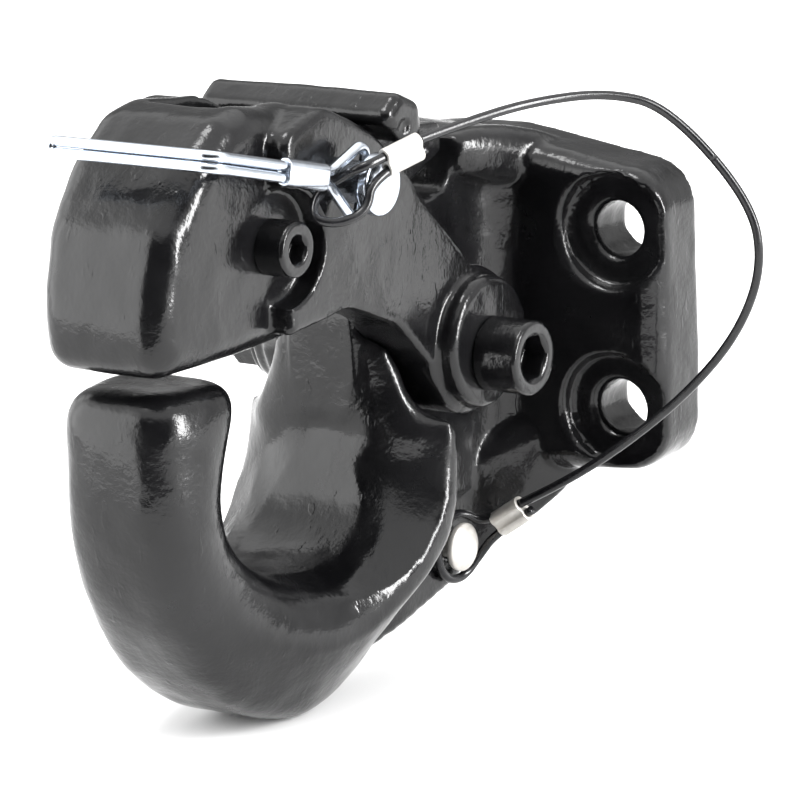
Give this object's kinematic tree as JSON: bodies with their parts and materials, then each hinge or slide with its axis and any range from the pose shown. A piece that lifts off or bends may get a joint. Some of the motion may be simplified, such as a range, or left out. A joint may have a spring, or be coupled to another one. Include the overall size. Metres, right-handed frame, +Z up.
{
  "type": "pintle hitch",
  "caption": "Pintle hook on a bolt-on plate: forged hook, hinged jaw with a lock lever, safety pin with wire handle and a cable lanyard.",
  "frame": {"origin": "centre of the four-bolt pattern, on the flat mounting face at the back of the plate", "axes": "+Y points at the towing vehicle and the hook reaches out along -Y, +Z is up, +X is the side the safety pin goes in from"},
  "size_m": [0.1465, 0.1675, 0.149],
  "materials": {
    "forging": "thick gloss black enamel over a forged surface",
    "black_steel": "gloss black screws, nuts and washer",
    "nylon": "nylon locking ring",
    "zinc": "bright bluish zinc plate",
    "aluminium": "pale satin",
    "cable": "dark vinyl coat over wire rope"
  },
  "bodies": {
    "base": {"hook_base": "forging", "pivot_bolt": "black_steel", "pivot_washer": "black_steel", "pivot_nut": "black_steel", "pivot_nut_insert": "nylon", "lanyard_rivet": "aluminium", "lanyard_base_ferrule": "aluminium", "lanyard_lower_span": "cable", "lanyard_base_loop": "cable"},
    "jaw": {"upper_jaw": "forging", "lock_bolt": "black_steel", "lock_nut": "black_steel", "lock_nut_insert": "nylon", "lock_spring": "zinc", "lanyard_upper_span": "cable"},
    "lock": {"lock_lever": "forging"},
    "lanyard_end": {"lanyard_pin_ferrule": "aluminium", "lanyard_pin_loop": "cable"},
    "pin": {"safety_pin": "zinc", "pin_wire_handle": "zinc", "pin_wire_sleeve": "zinc"}
  },
  "joints": [
    {"name": "jaw_open", "type": "hinge", "parent": "base", "child": "jaw", "pos_m": [0, -0.053, -0.002], "axis": [-1, 0, 0], "range_deg": [0, 38], "deforming": ["lanyard_lower_span"]},
    {"name": "lock_lift", "type": "hinge", "parent": "jaw", "child": "lock", "pos_m": [0, -0.127, 0.037], "axis": [1, 0, 0], "range_deg": [0, 24.7], "deforming": ["lock_spring"]},
    {"name": "pin_pull", "type": "slide", "parent": "jaw", "child": "lanyard_end", "axis": [1, 0, 0], "range_m": [0, 0.062], "deforming": ["lanyard_upper_span"]},
    {"name": "pin_turn", "type": "hinge", "parent": "lanyard_end", "child": "pin", "pos_m": [0, -0.1055, 0.0488], "axis": [-1, 0, 0], "range_deg": [0, 90], "deforming": ["lanyard_pin_loop"]}
  ],
  "couplings": [
    {"joint": "lock_lift", "follows": "jaw_open", "ratio": 0.65}
  ]
}
